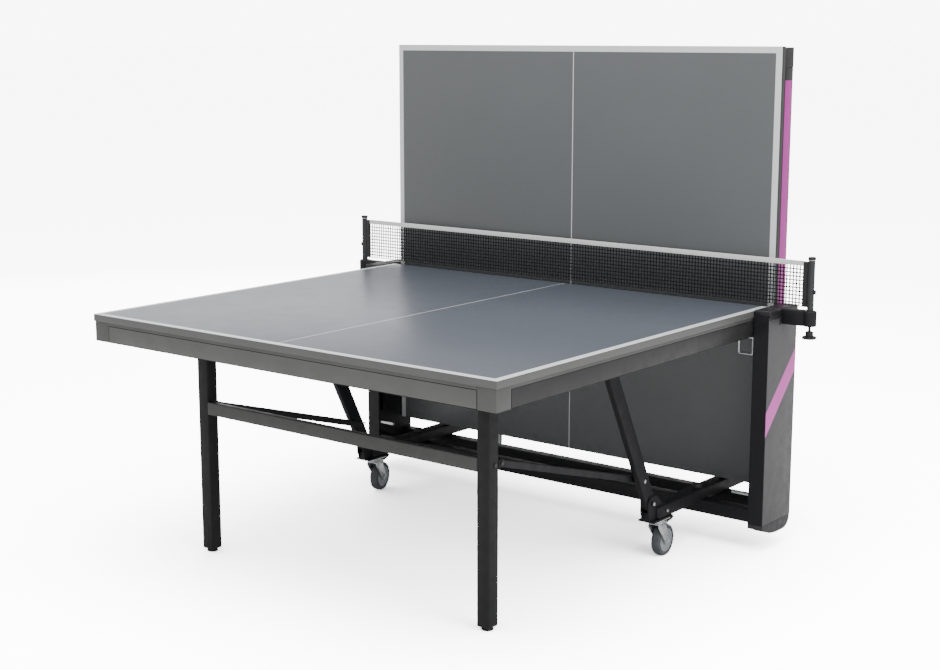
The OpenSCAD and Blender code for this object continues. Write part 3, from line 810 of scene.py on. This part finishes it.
def netting():
    """Square meshes of thin cord, knotted where the cords cross."""
    pitch, half_cord, deep = 11.0, 1.6, 0.9
    across = int(2 * NET_X // pitch)
    wide = 2 * NET_X / across
    up = int((MESH_TOP - NET_LOW) // pitch)
    tall = (MESH_TOP - NET_LOW) / up
    bm = bmesh.new()

    def strand(low, high):
        size = [h - l for l, h in zip(low, high)]
        middle = [(l + h) / 2 for l, h in zip(low, high)]
        place = Matrix.Translation(middle) @ Matrix.Diagonal((*size, 1))
        bmesh.ops.create_cube(bm, size=1, matrix=place)
    for i in range(across + 1):
        x = -NET_X + i * wide
        strand((max(x - half_cord, -NET_X), -deep, NET_LOW),
               (min(x + half_cord, NET_X), deep, MESH_TOP))
    for j in range(up):
        z = NET_LOW + j * tall
        strand((-NET_X, -deep, z - half_cord * (j > 0)), (NET_X, deep, z + half_cord))
    for i in range(1, across):
        for j in range(1, up):
            knot = Matrix.Translation((-NET_X + i * wide, 0, NET_LOW + j * tall))
            bmesh.ops.create_icosphere(bm, subdivisions=1, radius=1,
                                       matrix=knot @ Matrix.Diagonal((2.2, 1.0, 2.2, 1)))
    return bm


def tape():
    """White band folded over the top cord."""
    outline = [(-2, -15), (-2, -2), (-1.4, -0.6), (0, 0), (1.4, -0.6), (2, -2), (2, -15),
               (1.2, -15), (1.2, -2.4), (0, -1.2), (-1.2, -2.4), (-1.2, -15)]
    return prism([(y, NET_TOP + z) for y, z in outline], -NET_X, NET_X, "X", 0)


def sleeves():
    def one():
        return block((NET_X, -3, NET_LOW), (NET_X + SLEEVE_W, 3, NET_TOP - 1), 2.2, 3)
    return both_sides(one)


def net_knob(side):
    stem = disc(4, 699, 724.5, 0.5, 20)
    collar = turned([(0, 683), (11, 683), (12, 684), (12, 697), (10, 699), (0, 699)],
                    32, closed=False)
    grip = lobed(22, 2.4, 10, 676, 683.5, 1.2)
    return at(joined([stem, collar, grip]), side * POST_X, 0, 0)


piece("net_post_tubes", posts(), FAR, post_paint, "net", ["net_posts"])
piece("net_post_caps", post_caps(), FAR, black_plastic, "net")
piece("net_post_rings", post_rings(), FAR, zinc, "net")
net = piece("netting", netting(), FAR, net_cord, "net", ["net_mesh"], 0)
band = piece("net_band", tape(), FAR, tape_cloth, "net", ["net_tape"])
ends = piece("net_end_sleeves", sleeves(), FAR, sleeve_cloth, "net", ["net_sleeves"])
for side, word in ((-1, "left"), (1, "right")):
    knob = f"net_knob_{word}"
    piece(f"net_screw_knob_{word}", net_knob(side), FAR, black_plastic, knob,
          [knob])

# ---------- Casters ----------

TRAIL = 34
WHEEL_R = 50
CHEEK = 16.5


def fork():
    """Pressed steel fork under a bearing race, drawn with its wheel trailing along +Y."""
    race = turned([(0, 112), (20, 112), (22, 113), (22, 115), (20.5, 116), (20.5, 118), (22, 119),
                   (22, 122.7), (21, 123.7), (0, 123.7)], 40, closed=False)
    crown = block((-CHEEK - 2.5, -22, 109), (CHEEK + 2.5, 14, 112), 1.2)
    turns = [math.radians(215 + 165 * i / 10) for i in range(11)]
    arc = [(TRAIL + 12 * math.cos(a), WHEEL_R + 12 * math.sin(a)) for a in turns]
    outline = [(18, 112), (-22, 112), (-22, 99)] + arc

    def side():
        cheek = prism(outline, CHEEK, CHEEK + 2.5, "X", 0.9)
        ear = prism([(12, 102), (26, 102), (28, 104), (28, 114), (26, 116), (12, 116)],
                    CHEEK, CHEEK + 2.5, "X", 0.8)
        return joined([cheek, ear])
    axle = on_x(disc(5, -22, 22, 0.8, 20), 0, TRAIL, WHEEL_R)
    nuts = [on_x(disc(7.5, x, x + 4, 1, 6), 0, TRAIL, WHEEL_R) for x in (-CHEEK - 6.5, CHEEK + 2.5)]
    return joined([race, crown, both_sides(side), axle] + nuts)


def tyre():
    profile = [(36.05, -14), (44, -14), (47.2, -12.8), (49.2, -9), (50, -4),
               (50, 4), (49.2, 9), (47.2, 12.8), (44, 14), (36.05, 14)]
    return on_x(turned(profile, 64), 0, TRAIL, WHEEL_R)


def hub():
    profile = [(5.05, -15), (13, -15), (14, -14), (14, -10), (16, -9), (29, -9), (31, -10),
               (31, -12.2), (33, -13), (36, -13), (36, 13), (33, 13), (31, 12.2), (31, 10),
               (29, 9), (16, 9), (14, 10), (14, 14), (13, 15), (5.05, 15)]
    return on_x(turned(profile, 64), 0, TRAIL, WHEEL_R)


def pedal():
    """A pressed pedal with three ribs under the toe, on its pin."""
    outline = [(16, 104.2), (26, 104.2), (46, 107.4), (64, 110), (74, 113), (76, 116),
               (73.5, 120), (66, 118.8), (58, 116.4), (40, 113), (24, 110), (16, 110)]
    rib = [(60, 116.6), (62, 116.9), (62, 118.4), (60, 118.1)]
    ribs = [prism([(y + 4 * i, z + 0.6 * i) for y, z in rib], -13, 13, "X", 0) for i in range(3)]
    lever = prism(outline, -15.2, 15.2, "X", 1.8, 3)
    pin = on_x(disc(3, -19, 19, 0.5, 16), 0, 20, 107)
    return joined([lever, pin] + ribs)


for end, row in ((-1, "near"), (1, "far")):
    for side, word in ((-1, "left"), (1, "right")):
        which = f"{row}_{word}"
        turn = 0 if end > 0 else math.radians(12 if side < 0 else 2)
        here = (FAR @ Matrix.Translation((side * BEAM_X, end * 320, 0))
                @ Matrix.Rotation(turn, 4, "Z"))
        for name, make, finish, body, slot, node in (
                ("caster_fork", fork, zinc, "fork", "zinc", "fork"),
                ("tyre", tyre, tread, "wheel", "hub_plastic", "wheel"),
                ("hub", hub, hub_plastic, "wheel", "hub_plastic", None),
                ("brake_pedal", pedal, black_plastic, "brake", "black_plastic", "brake")):
            piece(f"{name}_{which}", make(), here, finish, f"{body}_{which}",
                  [f"{node}_{which}"] if node else ())

# ---------- Studio ----------

floor_bm = bmesh.new()
bmesh.ops.create_grid(floor_bm, x_segments=1, y_segments=1, size=200)
floor_mesh = bpy.data.meshes.new("floor")
floor_bm.to_mesh(floor_mesh)
floor_bm.free()
floor_paint = Finish("studio_floor", 0.0, 0.9, Specular_IOR_Level=0.0)
seen = floor_paint.node("ShaderNodeLightPath").outputs["Is Camera Ray"]
floor_paint.wire("Base Color", floor_paint.mix(seen, (0.80, 0.80, 0.80), (9.0, 9.0, 9.0)))
floor_mesh.materials.append(floor_paint.material)
floor = bpy.data.objects.new("floor", floor_mesh)
bpy.context.collection.objects.link(floor)

world = bpy.data.worlds.new("studio")
world.use_nodes = True
sky = world.node_tree
backdrop = sky.nodes["Background"]
backdrop.inputs["Color"].default_value = (1, 1, 1, 1)
seen = sky.nodes.new("ShaderNodeLightPath").outputs["Is Camera Ray"]
strength = sky.nodes.new("ShaderNodeMapRange")
strength.inputs["To Min"].default_value = 0.9
strength.inputs["To Max"].default_value = 8.4
sky.links.new(seen, strength.inputs["Value"])
sky.links.new(strength.outputs[0], backdrop.inputs["Strength"])
bpy.context.scene.world = world


def soft_light(name, place, aim, size, power):
    lamp = bpy.data.lights.new(name, "AREA")
    lamp.shape = "RECTANGLE"
    lamp.size, lamp.size_y = size
    lamp.energy = power
    holder = bpy.data.objects.new(name, lamp)
    holder.location = place
    holder.rotation_euler = (Vector(aim) - Vector(place)).to_track_quat("-Z", "Y").to_euler()
    bpy.context.collection.objects.link(holder)


soft_light("top_light", (0.5, -0.5, 4.5), (0, 0.2, 0.5), (4, 4), 140)
soft_light("right_light", (5.0, -1.0, 3.0), (0, 0.2, 0.7), (3, 3), 90)
soft_light("left_light", (-4.6, 3.4, 2.3), (-0.4, -0.4, 0.76), (3, 2.6), 30)
